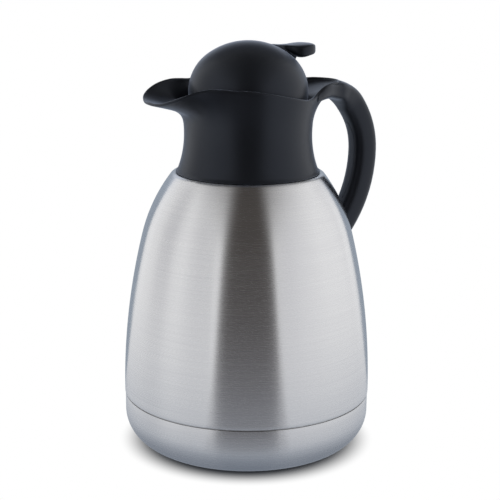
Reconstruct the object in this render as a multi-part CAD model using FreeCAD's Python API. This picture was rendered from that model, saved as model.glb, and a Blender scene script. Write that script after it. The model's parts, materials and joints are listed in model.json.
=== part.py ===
import FreeCAD, Part
import math
import os

# Double-walled steel coffee carafe with a pouring collar, a handle and a screw stopper.
# The stopper carries a thumb lever that lifts a spring-closed pouring valve.
# Lengths are in millimetres and angles in degrees. +Z is up, the handle points to +X and
# the spout to -X. The origin is the middle of the base pad's underside.

# Steel body
body_radius = 72.5
seam_height = 31.0
seam_gap = 0.5
belly_start = 33.5
belly_share = 0.365
shoulder_height = 162.2
shoulder_drop = 36.2
shoulder_corner = 3.0
shoulder_ledge = 0.5
steel_wall = 0.8
neck_height = 13.8
neck_corner = 2.5
vacuum_gap = 5.0
neck_double_wall = 3.9
liner_neck_fillet = 6.0
liner_neck_rise = 4.0
liner_floor = 15.0
liner_corner = 18.0
liner_weld_height = 36.0
liner_seam_drop = 26.0

# Base
base_corner = 20.0
base_lift = 0.4
base_wall = 0.5
pad_radius = 46.0
pad_thickness = 2.8
pad_play = 0.4
pad_edge = 0.6
vacuum_floor = 7.5
vacuum_corner = 18.0
getter_radius = 6.0
getter_height = 2.0
seal_button_radius = 4.0
seal_button_height = 1.5

# Pouring collar
collar_gap = 0.3
collar_foot_flare = 4.85
collar_foot_height = 1.2
waist_wall = 1.55
waist_above_foot = 22.0
lower_sweep = 58.0
upper_sweep = 85.0
flare_slope = 0.16
rim_blank_height = 56.0
mouth_radius = 35.2
collar_wall = 2.2
lip_share = 0.25
# Height of the rim above the collar's foot, along X from the spout's tip to the handle.
rim_wave = [(-75.0, 33.0), (-62.3, 41.3), (-57.2, 44.6), (-52.3, 47.3), (-45.4, 49.9), (-37.5, 51.5),
            (-29.0, 52.1), (-9.0, 50.1), (9.0, 46.1), (22.0, 43.1), (30.0, 43.5), (37.0, 47.7),
            (46.0, 50.7), (57.0, 50.7), (70.0, 50.7)]
spout_reach = 62.3
spout_nose_length = 24.8
spout_nose_half_width = 28.2
spout_nose_power = 2.2
spout_nose_points = 25
# Half width, lip height above the collar's foot and trough depth at each X.
# No trough is deeper than it is wide.
spout_troughs = [(-17.0, 34.0, 51.1, 33.0), (-31.0, 30.5, 52.1, 27.5), (-38.0, 27.9, 52.0, 22.0),
                 (-46.0, 26.6, 52.0, 16.2), (-52.4, 25.5, 52.0, 14.0), (-57.3, 25.0, 52.0, 12.95),
                 (-66.0, 24.4, 52.1, 12.3)]
tail_overhang = 4.0
tail_radius = 16.5
tail_wall = 1.6
tail_bottom_height = 38.5
tail_top_height = 45.5
tail_dish_low = 44.0
tail_dish_high = 50.0

# Neck ring and its gasket
neck_gasket_thickness = 1.5
neck_ring_height = 12.5
neck_ring_ledge = 1.0
neck_ring_overhang = 1.3
neck_ring_step = 0.2
neck_ring_play = 0.1
tool_notches = 6
tool_notch_width = 6.0
tool_notch_depth = 2.0

# Handle
handle_root_rise = 42.8
handle_root_start = 45.0
handle_bend_inset = 8.2
handle_bend_sweep = 16.75
handle_back_sweep = 47.0
handle_foot_lift = 0.1
handle_bend_end = 54.2
handle_back_end = 90.0
handle_root_size = (30.0, 9.8, 2.7)
# Heading below level, width, thickness and shift out of the middle line at each section.
handle_sections = [(0.0, 28.5, 11.5, 2.15), (25.0, 22.5, 13.1, 0.75), (50.0, 17.6, 14.6, 0.0),
                   (72.0, 16.6, 14.3, 0.0), (90.0, 16.4, 14.3, 0.0), (108.0, 16.4, 14.3, 0.0),
                   (124.0, 16.6, 13.9, 0.0), (138.0, 17.0, 13.3, 0.0)]
handle_corner = 5.0
handle_corner_share = 0.4
handle_gap = 0.35
inlay_width = 7.0
inlay_depth = 2.0
inlay_headings = [66.0, 78.0, 90.0, 102.0, 114.0]
bracket_width = 11.0
bracket_below_screw = 6.5
bracket_above_screw = 5.5
bracket_plate = 1.5
bracket_play = 0.2
bracket_boss_radius = 3.4
bracket_boss_height = 2.4

# Screws
screw_radius = 1.5
screw_head_radius = 2.6
screw_head_height = 2.0
screw_play = 0.1
handle_screw_cover = 2.2
root_screw_above_ring = 13.0
root_screw_slope = 0.23
root_screw_spread = 6.0
root_screw_past = 1.5
root_screw_seat = 2.1
dome_screw_step = 4.0
dome_screw_angles = [60.0, 180.0, 300.0]
dome_screw_length = 10.0

# Stopper
dome_clearance = 1.05
dome_rise = 28.75
dome_side_sweep = 26.0
dome_skirt = 4.5
dome_wall = 2.4
dome_boss_radius = 3.3
dome_seat_height = 13.2
plug_drop = 11.8
plug_clearance = 2.5
plug_wall = 5.0
plug_floor = 3.0
thread_play = 0.5
port_band_wall = 2.5
port_height = 9.0
port_width = 22.0
port_rib = 3.0
port_sill = 1.2
flange_play = 0.2
flange_thickness = 2.5
inlet_radius = 11.5
seat_radius = 14.0
seat_height = 1.0
gasket_sill = 2.0
gasket_height = 5.6
gasket_groove = 1.6
gasket_fit = 0.05
gasket_gap = 0.3
guide_radius = 6.0
guide_length = 14.5
spigot_wall = 2.0
spigot_height = 2.0
spigot_fit = 0.05

# Lever and its pin
pin_reach = 22.0
pin_below_top = 13.25
pin_radius = 1.5
pin_fit = 0.05
lug_half_length = 4.0
lug_drop = 4.0
lug_thickness = 3.8
lever_width = 8.4
lever_play = 0.4
lever_boss_radius = 4.2
lever_front = 15.0
lever_fan_inset = 12.15
lever_tip_overhang = 6.75
lever_tip_half_width = 11.4
lever_fan_end_inset = 0.55
lever_top_below_top = 2.7
lever_dip = 1.5
lever_tip_thickness = 5.0
lever_heel_thickness = 7.75
lever_edge_thickness = 1.2
lever_heel_inset = 6.15
lever_throat_inset = 8.15
lever_throat_thickness = 5.25
neck_back = 27.0
slot_front = 12.4
slot_back_inset = 4.15
arm_thickness = 4.0
arm_width_change = 10.0
fork_width = 11.0
fork_reach = 4.0
fork_play = 0.4
fork_slot_reach = 1.6
fork_gap = 0.4

# Valve
stem_radius = 2.5
stem_fit = 0.1
cap_below_pin = 2.0
cap_radius = 5.4
cap_thickness = 2.2
valve_seal_radius = 15.2
valve_seal_thickness = 2.0
valve_disc_radius = 16.4
valve_disc_thickness = 3.0
valve_hub_radius = 3.5
valve_hub_height = 2.0
valve_nut_radius = 4.6
valve_nut_height = 2.2
stem_tail = 0.4
spring_radius = 4.75
spring_wire = 0.55
spring_turns = 5
spring_seat = 0.1

# Heights, radii and sweeps that follow from the sizes above
ring_radius = mouth_radius - neck_ring_ledge
neck_radius = ring_radius - neck_ring_overhang
liner_neck_radius = neck_radius - neck_double_wall
neck_ring_bore = liner_neck_radius + neck_ring_step
waist_radius = mouth_radius + waist_wall
collar_foot_radius = waist_radius + collar_foot_flare
dome_radius = mouth_radius - dome_clearance
slot_back = dome_radius - slot_back_inset
lever_fan_start = dome_radius - lever_fan_inset
lever_fan_end = dome_radius - lever_fan_end_inset
lever_heel = dome_radius - lever_heel_inset
lever_throat = dome_radius - lever_throat_inset
lever_tip = dome_radius + lever_tip_overhang
plug_radius = liner_neck_radius - plug_clearance
plug_bore = plug_radius - plug_wall
port_band_radius = plug_bore + port_band_wall
dome_screw_circle = port_band_radius + dome_screw_step
belly_top = shoulder_height - shoulder_drop
belly_rise = belly_top - belly_start
belly_taper = belly_share * (body_radius - collar_foot_radius)
belly_edge = body_radius - belly_taper
belly_sweep = (belly_rise ** 2 + belly_taper ** 2) / (2 * belly_taper)
belly_turn = math.asin(belly_rise / belly_sweep)
corner_in = belly_edge - collar_foot_radius - shoulder_ledge
corner_rise = shoulder_drop - shoulder_corner
corner_depth = corner_in * math.cos(belly_turn) - corner_rise * math.sin(belly_turn) - shoulder_corner
shoulder_sweep = (corner_in ** 2 + corner_rise ** 2 - shoulder_corner ** 2) / (2 * corner_depth)
liner_seam = belly_top - liner_seam_drop
neck_top = shoulder_height + neck_height
lip_top = neck_top + steel_wall
collar_foot = shoulder_height + collar_gap
waist_height = collar_foot + waist_above_foot
rim_blank = collar_foot + rim_blank_height
ring_bottom = lip_top + neck_gasket_thickness
ring_top = ring_bottom + neck_ring_height
dome_skirt_bottom = ring_top + dome_seat_height
dome_equator = dome_skirt_bottom + dome_skirt
dome_top = dome_equator + dome_rise
flange_top = dome_skirt_bottom + flange_thickness
plug_bottom = neck_top - plug_drop
chamber_bottom = plug_bottom + plug_floor
seat_top = chamber_bottom + seat_height
seal_top = seat_top + valve_seal_thickness
disc_top = seal_top + valve_disc_thickness
guide_bottom = dome_skirt_bottom - guide_length
pin_height = dome_top - pin_below_top
cap_bottom = pin_height - cap_below_pin
cap_top = cap_bottom + cap_thickness
arm_top = cap_bottom - fork_gap
lever_top = dome_top - lever_top_below_top
handle_root_height = collar_foot + handle_root_rise
handle_bend_start = belly_edge - handle_bend_inset
handle_screw_height = belly_top
bracket_bottom = handle_screw_height - bracket_below_screw
bracket_top = handle_screw_height + bracket_above_screw
tail_reach = handle_bend_start + tail_overhang
root_screw_length = tail_reach + root_screw_past - mouth_radius
past = 2 * (body_radius + dome_top)

parts = {}


def vec(x, y, z):
    return FreeCAD.Vector(x, y, z)


up = vec(0, 0, 1)


def line(a, b):
    return Part.LineSegment(a, b).toShape()


def arc(a, middle, b):
    return Part.Arc(a, middle, b).toShape()


def arc_about(centre, radius, start, end):
    """Arc in the XZ plane about a (radius, height) centre, from one angle to another."""
    def at(angle):
        turn = math.radians(angle)
        return vec(centre[0] + radius * math.cos(turn), 0, centre[1] + radius * math.sin(turn))
    return arc(at(start), at((start + end) / 2), at(end))


def run(points):
    """Straight edges through (x, z) points of the XZ plane."""
    corners = [vec(x, 0, z) for x, z in points]
    return [line(a, b) for a, b in zip(corners, corners[1:])]


def closed_face(edges, points):
    """Face bounded by a run of edges and then by straight lines through (x, z) points."""
    first = edges[0].valueAt(edges[0].FirstParameter)
    last = edges[-1].valueAt(edges[-1].LastParameter)
    ends = [(last.x, last.z)] + points + [(first.x, first.z)]
    return Part.Face(Part.Wire(edges + run(ends)))


def revolved(face):
    return face.revolve(vec(0, 0, 0), up, 360)


def lathe(points):
    return revolved(Part.Face(Part.Wire(run(points + points[:1]))))


def ring(inner, outer, bottom, top):
    return lathe([(inner, bottom), (outer, bottom), (outer, top), (inner, top)])


def rod(radius, base, direction, length):
    return Part.makeCylinder(radius, length, base, direction)


def post(radius, bottom, top, x=0.0, y=0.0):
    return rod(radius, vec(x, y, bottom), up, top - bottom)


def block(x0, x1, half_width, z0, z1):
    return Part.makeBox(x1 - x0, 2 * half_width, z1 - z0, vec(x0, -half_width, z0))


def extruded(face, half_width):
    """A face of the XZ plane made a solid, as far to both sides of that plane."""
    face.translate(vec(0, -half_width, 0))
    return face.extrude(vec(0, 2 * half_width, 0))


class BodySide:
    """The body's side: a long belly arc that runs into a tighter shoulder arc, both set in and lowered."""

    def __init__(self, inset, drop):
        self.start = belly_start - drop
        self.belly = belly_sweep - inset
        self.shoulder = shoulder_sweep - inset
        self.turn = math.degrees(belly_turn)
        self.belly_centre = (body_radius - belly_sweep, self.start)
        step = belly_sweep - shoulder_sweep
        across = self.belly_centre[0] + step * math.cos(belly_turn)
        self.shoulder_centre = (across, self.start + step * math.sin(belly_turn))

    def arc_at(self, height):
        if height > self.start + self.belly * math.sin(math.radians(self.turn)):
            return self.shoulder_centre, self.shoulder
        return self.belly_centre, self.belly

    def angle_at(self, height):
        centre, sweep = self.arc_at(height)
        return math.degrees(math.asin((height - centre[1]) / sweep))

    def radius_at(self, height):
        centre, sweep = self.arc_at(height)
        return centre[0] + math.sqrt(sweep ** 2 - (height - centre[1]) ** 2)

    def edges(self, from_height, end_angle):
        belly = arc_about(self.belly_centre, self.belly, self.angle_at(from_height), self.turn)
        return [belly, arc_about(self.shoulder_centre, self.shoulder, self.turn, end_angle)]

    def corner(self, size, top):
        """Centre and start angle of the round that ends level at the top height."""
        rise = top - size - self.shoulder_centre[1]
        reach = self.shoulder - size
        centre = (self.shoulder_centre[0] + math.sqrt(reach ** 2 - rise ** 2), top - size)
        return centre, math.degrees(math.asin(rise / reach))

    def meet_neck(self, size, neck, height):
        """Bends the shoulder arc to a hollow fillet upright at the neck, and returns where it starts."""
        lean = (math.cos(belly_turn), math.sin(belly_turn))
        joint = (self.belly_centre[0] + self.belly * lean[0], self.start + self.belly * lean[1])
        across = neck + size - joint[0]
        rise = height - joint[1]
        depth = size - across * lean[0] - rise * lean[1]
        self.shoulder = (across ** 2 + rise ** 2 - size ** 2) / (2 * depth)
        self.shoulder_centre = (joint[0] - self.shoulder * lean[0], joint[1] - self.shoulder * lean[1])
        across = neck + size - self.shoulder_centre[0]
        return math.degrees(math.atan2(height - self.shoulder_centre[1], across))


def shell_solid(inset):
    """The outer shell filled to its axis, set in by an inset, with its flat shoulder and its neck."""
    side = BodySide(inset, 0)
    bottom = seam_height + seam_gap / 2
    top = shoulder_height - inset
    corner_size = shoulder_corner - inset
    corner_centre, corner_angle = side.corner(corner_size, top)
    neck = neck_radius - inset
    root = neck_corner + inset
    edges = run([(body_radius - inset, bottom), (body_radius - inset, belly_start)])
    edges += side.edges(belly_start, corner_angle)
    edges.append(arc_about(corner_centre, corner_size, corner_angle, 90))
    edges += run([(corner_centre[0], top), (neck + root, top)])
    edges.append(arc_about((neck + root, top + root), root, 270, 180))
    return revolved(closed_face(edges, [(neck, neck_top), (0, neck_top), (0, bottom)]))


def liner_solid(inset, neck, fillet):
    """The liner's side filled to its axis, from its weld up to the top of the neck."""
    side = BodySide(inset, vacuum_gap)
    height = shoulder_height + liner_neck_rise
    angle = side.meet_neck(fillet, neck, height)
    edges = side.edges(liner_weld_height, angle)
    edges.append(arc_about((neck + fillet, height), fillet, 180 + angle, 180))
    return revolved(closed_face(edges, [(neck, neck_top), (0, neck_top), (0, liner_weld_height)]))


def cup_solid(radius, floor, corner, top):
    edges = run([(0, floor), (radius - corner, floor)])
    edges.append(arc_about((radius - corner, floor + corner), corner, 270, 360))
    edges += run([(radius, floor + corner), (radius, top)])
    return revolved(closed_face(edges, [(0, top)]))


def cup_shell(radius, floor, corner, top, wall):
    inside = cup_solid(radius - wall, floor + wall, corner - wall, top)
    return cup_solid(radius, floor, corner, top).cut(inside)


def make_body():
    hollow = shell_solid(steel_wall)
    hollow = hollow.fuse(post(neck_radius - steel_wall, shoulder_height, neck_top))
    hollow = hollow.fuse(post(body_radius - steel_wall, seam_height, belly_start))
    parts["outer_shell"] = shell_solid(0).cut(hollow)

    inset = steel_wall + vacuum_gap
    outside = liner_solid(inset, liner_neck_radius + steel_wall, liner_neck_fillet)
    inside = liner_solid(inset + steel_wall, liner_neck_radius, liner_neck_fillet + steel_wall)
    lip = ring(liner_neck_radius, neck_radius, neck_top, lip_top)
    liner = outside.cut(inside)
    below = post(body_radius, 0, liner_seam)
    parts["inner_liner"] = liner.common(below)
    parts["liner_shoulder"] = liner.cut(below).fuse(lip).removeSplitter()

    liner_radius = BodySide(inset, vacuum_gap).radius_at(liner_weld_height)
    parts["liner_bottom"] = cup_shell(liner_radius, liner_floor, liner_corner, liner_weld_height, steel_wall)
    bottom_radius = body_radius - steel_wall
    parts["vacuum_bottom"] = cup_shell(bottom_radius, vacuum_floor, vacuum_corner, belly_start, steel_wall)
    getter_floor = vacuum_floor + steel_wall
    parts["getter_pill"] = post(getter_radius, getter_floor, getter_floor + getter_height)
    parts["vacuum_seal_button"] = post(seal_button_radius, vacuum_floor - seal_button_height, vacuum_floor)


def make_base():
    radius = body_radius - steel_wall + base_wall
    top = seam_height - seam_gap / 2
    recess = pad_radius + pad_play
    cup = cup_shell(radius, base_lift, base_corner, top, base_wall)
    dish = post(recess + base_wall, base_lift, pad_thickness + base_wall)
    cup = cup.fuse(dish).cut(post(recess, base_lift, pad_thickness))
    parts["base_cup"] = cup.removeSplitter()
    parts["base_pad"] = lathe([(0, 0), (pad_radius - pad_edge, 0), (pad_radius, pad_edge),
                               (pad_radius, pad_thickness), (0, pad_thickness)])


def collar_round(grow):
    """The collar's round body filled to its axis, from its foot up past the rim."""
    waist = waist_radius + grow
    low = collar_foot + collar_foot_height
    low_angle = math.degrees(math.asin((waist_height - low) / lower_sweep))
    high_angle = math.degrees(math.atan(flare_slope))
    lower = arc_about((waist + lower_sweep, waist_height), lower_sweep, 180 + low_angle, 180)
    upper = arc_about((waist + upper_sweep, waist_height), upper_sweep, 180, 180 - high_angle)
    flare = upper.valueAt(upper.LastParameter)
    start = lower.valueAt(lower.FirstParameter)
    edges = run([(collar_foot_radius + grow, collar_foot), (start.x, start.z)]) + [lower, upper]
    top_radius = flare.x + flare_slope * (rim_blank - flare.z)
    return revolved(closed_face(edges, [(top_radius, rim_blank), (0, rim_blank), (0, collar_foot)]))


def spout_trough(inset):
    """A run of half-ellipse troughs with upright sides, set in by a wall that thins towards the lip."""
    sections = []
    for x, half_width, lip_height, depth in spout_troughs:
        lip = collar_foot + lip_height
        half = half_width - inset
        deep = max(depth - inset, depth * lip_share) if inset else depth
        ellipse = Part.Ellipse(vec(x, half, lip), vec(x, 0, lip - deep), vec(x, 0, lip))
        trough = Part.ArcOfEllipse(ellipse, 0, math.pi).toShape()
        sides = [vec(x, -half, lip), vec(x, -half, rim_blank), vec(x, half, rim_blank), vec(x, half, lip)]
        sections.append(Part.Wire([trough] + [line(a, b) for a, b in zip(sides, sides[1:])]))
    return Part.makeLoft(sections, True)


def nose_outline():
    """Everything that lies behind the spout's blunt round nose."""
    back = spout_nose_length - spout_reach
    points = []
    for count in range(spout_nose_points):
        turn = math.pi * (count / (spout_nose_points - 1) - 0.5)
        share = 2 / spout_nose_power
        y = math.copysign(spout_nose_half_width * abs(math.sin(turn)) ** share, turn)
        points.append(vec(back - spout_nose_length * abs(math.cos(turn)) ** share, y, collar_foot))
    nose = Part.BSplineCurve()
    nose.interpolate(points)
    edges = [nose.toShape(), line(points[-1], points[0])]
    front = Part.Face(Part.Wire(edges)).extrude(vec(0, 0, rim_blank_height))
    return front.fuse(block(back, 0, past, collar_foot, rim_blank))


def egg_wire(main, end, reach, height):
    """Outline of a round body drawn out along +X to a smaller round end."""
    middle = reach - end
    lean = math.asin((main - end) / middle)
    def at(centre, radius, angle):
        return vec(centre + radius * math.cos(angle), radius * math.sin(angle), height)
    side = math.pi / 2 - lean
    return Part.Wire([arc(at(0, main, side), vec(-main, 0, height), at(0, main, -side)),
                      line(at(0, main, -side), at(middle, end, -side)),
                      arc(at(middle, end, -side), vec(reach, 0, height), at(middle, end, side)),
                      line(at(middle, end, side), at(0, main, side))])


def tail_solid(grow):
    """The collar's tail over the handle: an egg outline that swells out of the round body on its way up."""
    low = collar_foot + tail_bottom_height
    high = collar_foot + tail_top_height
    end = tail_radius + grow
    main = waist_radius + grow
    foot = egg_wire(main, end, main + tail_wall, low)
    crown = egg_wire(main, end, tail_reach + grow, high)
    swell = Part.makeLoft([foot, crown], True, True)
    return swell.fuse(Part.Face(crown).extrude(vec(0, 0, rim_blank - high)))


def rim_tool():
    """Everything above the waving rim."""
    points = [vec(x, 0, collar_foot + z) for x, z in rim_wave]
    wave = Part.BSplineCurve()
    wave.interpolate(points)
    top = [(points[-1].x, rim_blank + past), (points[0].x, rim_blank + past)]
    return extruded(closed_face([wave.toShape()], top), past)


def tail_dish():
    """The hollow on top of the tail, which rises from the mouth towards the handle."""
    inner = egg_wire(mouth_radius, tail_radius - tail_wall, tail_reach - tail_wall, collar_foot)
    column = Part.Face(inner).extrude(vec(0, 0, past))
    low = collar_foot + tail_dish_low
    high = collar_foot + tail_dish_high
    slope = [(0, low), (mouth_radius, low), (tail_reach, high), (tail_reach, rim_blank), (0, rim_blank)]
    above = Part.Face(Part.Wire(run(slope + slope[:1])))
    return column.common(extruded(above, past))


def root_screw_places():
    height = ring_top + root_screw_above_ring
    seat = math.sqrt(mouth_radius ** 2 - root_screw_spread ** 2) + root_screw_seat
    return [vec(seat, side * root_screw_spread, height) for side in (-1, 1)]


def root_screw_way():
    return vec(1, 0, root_screw_slope).normalize()


def screw_solid(seat, direction, length):
    """A screw whose head rests on the seat and whose shank runs on along the direction."""
    head = rod(screw_head_radius, seat - direction * screw_head_height, direction, screw_head_height)
    return head.fuse(rod(screw_radius, seat, direction, length)).removeSplitter()


def make_collar():
    spout = spout_trough(0).common(nose_outline())
    blank = collar_round(0).fuse([spout, tail_solid(0)])
    mouth = post(mouth_radius, ring_top, rim_blank)
    pocket = post(ring_radius + neck_ring_play, lip_top, ring_top)
    sleeve = post(neck_radius + collar_gap, collar_foot, lip_top)
    relief_top = shoulder_height + neck_corner + collar_gap
    relief = post(neck_radius + neck_corner + collar_gap, collar_foot, relief_top)
    channel = spout_trough(collar_wall)
    channel = channel.cut(post(past, 0, ring_top))
    hollow = mouth.fuse([pocket, sleeve, relief, channel, tail_dish(), rim_tool()])
    collar = blank.cut(hollow)
    along = root_screw_way()
    for seat in root_screw_places():
        shank = rod(screw_radius + screw_play, seat, along, root_screw_length)
        head = rod(screw_head_radius + screw_play, seat - along * mouth_radius / 2, along, mouth_radius / 2)
        collar = collar.cut(shank.fuse(head))
    parts["spout_collar"] = collar

    parts["neck_gasket"] = ring(liner_neck_radius, ring_radius, lip_top, ring_bottom)
    nut = ring(neck_ring_bore, ring_radius, ring_bottom, ring_top)
    notch_reach = (neck_ring_bore + ring_radius) / 2
    for count in range(tool_notches):
        notch = block(0, notch_reach, tool_notch_width / 2, ring_top - tool_notch_depth, ring_top)
        notch.rotate(vec(0, 0, 0), up, 360 / tool_notches * (count + 0.5))
        nut = nut.cut(notch)
    parts["neck_ring"] = nut


def handle_place(heading):
    """Point on the handle's middle line at a heading below level, and the outward direction there."""
    def on(centre, radius, angle):
        turn = math.radians(angle)
        return (centre[0] + radius * math.sin(turn), centre[1] + radius * math.cos(turn))
    centre, radius = (handle_bend_start, handle_root_height - handle_bend_sweep), handle_bend_sweep
    if heading > handle_bend_end:
        joint = on(centre, radius, handle_bend_end)
        centre, radius = on(joint, -handle_back_sweep, handle_bend_end), handle_back_sweep
    if heading > handle_back_end:
        joint = on(centre, radius, handle_back_end)
        in_to_foot = joint[0] - belly_edge - handle_foot_lift
        down_to_foot = joint[1] - handle_screw_height
        foot_sweep = (in_to_foot ** 2 + down_to_foot ** 2) / (2 * in_to_foot)
        centre, radius = on(joint, -foot_sweep, handle_back_end), foot_sweep
    x, z = on(centre, radius, heading)
    turn = math.radians(heading)
    return vec(x, 0, z), vec(math.sin(turn), 0, math.cos(turn))


def rounded_section(place, outward, width, thickness, shift):
    """Rounded rectangle square to the handle's middle line and shifted out of it."""
    half_y = width / 2
    half_n = thickness / 2
    corner = min(handle_corner, handle_corner_share * thickness)
    bulge = corner * (1 - math.sqrt(0.5))
    def at(y, n):
        return place + vec(0, y, 0) + outward * (n + shift)
    edges = []
    flats = [((half_y, half_n - corner), (half_y, corner - half_n)),
             ((half_y - corner, -half_n), (corner - half_y, -half_n)),
             ((-half_y, corner - half_n), (-half_y, half_n - corner)),
             ((corner - half_y, half_n), (half_y - corner, half_n))]
    signs = [(1, -1), (-1, -1), (-1, 1), (1, 1)]
    for index, (start, end) in enumerate(flats):
        following = flats[(index + 1) % 4][0]
        sy, sn = signs[index]
        middle = at(sy * (half_y - bulge), sn * (half_n - bulge))
        edges.append(line(at(*start), at(*end)))
        edges.append(arc(at(*end), middle, at(*following)))
    return Part.Wire(edges)


def handle_blank():
    root = vec(handle_root_start, 0, handle_root_height)
    sections = [rounded_section(root, up, *handle_root_size)]
    for heading, *size in handle_sections:
        place, outward = handle_place(heading)
        sections.append(rounded_section(place, outward, *size))
    return Part.makeLoft(sections, True)


def inlay_strip():
    """A strip along the inner face of the grip, a little proud of it."""
    sections = []
    grip = [size for size in handle_sections if inlay_headings[0] <= size[0] <= inlay_headings[-1]]
    thickness = min(size[2] for size in grip)
    for heading in inlay_headings:
        place, outward = handle_place(heading)
        corners = []
        for y, depth in ((-1, inlay_depth), (1, inlay_depth), (1, -inlay_depth), (-1, -inlay_depth)):
            corners.append(place + vec(0, y * inlay_width / 2, 0) + outward * (depth - thickness / 2))
        sections.append(Part.makePolygon(corners + corners[:1]))
    return Part.makeLoft(sections, True)


def bracket_solid(play):
    plate = shell_solid(-bracket_plate - play).cut(shell_solid(0))
    window = block(0, past, bracket_width / 2 + play, bracket_bottom - play, bracket_top + play)
    boss = rod(bracket_boss_radius + play, bracket_seat(0), bracket_way(),
               bracket_plate + bracket_boss_height + play)
    return plate.common(window).fuse(boss.cut(shell_solid(0))).removeSplitter()


def bracket_way():
    """Direction square to the body at the handle's lower screw."""
    lean = math.radians(BodySide(0, 0).angle_at(handle_screw_height))
    return vec(math.cos(lean), 0, math.sin(lean))


def bracket_seat(distance):
    """Point that far outside the body on the lower screw's line."""
    foot = vec(BodySide(0, 0).radius_at(handle_screw_height), 0, handle_screw_height)
    return foot + bracket_way() * distance


def make_handle():
    blank = handle_blank()
    way = bracket_way()
    handle = blank.cut(collar_round(handle_gap).fuse(tail_solid(handle_gap)))
    handle = handle.cut(shell_solid(-handle_gap))
    handle = handle.cut(bracket_solid(bracket_play))
    seat = bracket_seat(bracket_plate + bracket_boss_height + handle_screw_cover)
    bore = rod(screw_radius + screw_play, bracket_seat(0), way, handle_bend_sweep)
    sink = rod(screw_head_radius + screw_play, seat, way, handle_bend_sweep)
    handle = handle.cut(bore.fuse(sink))
    along = root_screw_way()
    for place in root_screw_places():
        handle = handle.cut(rod(screw_radius, place, along, root_screw_length))
    strip = inlay_strip()
    parts["handle_inlay"] = handle.common(strip)
    body = handle.cut(strip)
    parts["handle_grip"] = max(body.Solids, key=lambda solid: solid.Volume)

    thread = rod(screw_radius, bracket_seat(0), way, handle_bend_sweep)
    parts["handle_bracket"] = bracket_solid(0).cut(thread)
    length = handle_screw_cover + bracket_boss_height + bracket_plate
    parts["handle_foot_screw"] = screw_solid(seat, way * -1, length).cut(shell_solid(0))
    parts["handle_root_screws"] = Part.makeCompound([screw_solid(place, along, root_screw_length)
                                                     for place in root_screw_places()])


def dome_solid(inset):
    """The dome filled to its axis: a side arc that runs into a flatter crown arc, on a short skirt."""
    side_reach = dome_radius - dome_side_sweep
    crown_sweep = side_reach ** 2 + dome_rise ** 2 - dome_side_sweep ** 2
    crown_sweep /= 2 * (dome_rise - dome_side_sweep)
    crown_drop = crown_sweep - dome_rise
    turn = math.degrees(math.atan2(crown_drop, side_reach))
    edges = run([(dome_radius - inset, dome_skirt_bottom), (dome_radius - inset, dome_equator)])
    edges.append(arc_about((side_reach, dome_equator), dome_side_sweep - inset, 0, turn))
    edges.append(arc_about((0, dome_equator - crown_drop), crown_sweep - inset, turn, 90))
    return revolved(closed_face(edges, [(0, dome_skirt_bottom)]))


def dome_screw_places():
    places = []
    for angle in dome_screw_angles:
        turn = math.radians(angle)
        x = dome_screw_circle * math.cos(turn)
        y = dome_screw_circle * math.sin(turn)
        places.append(vec(x, y, dome_skirt_bottom))
    return places


def pin_rod(radius, half_length):
    return rod(radius, vec(pin_reach, -half_length, pin_height), vec(0, 1, 0), 2 * half_length)


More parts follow.
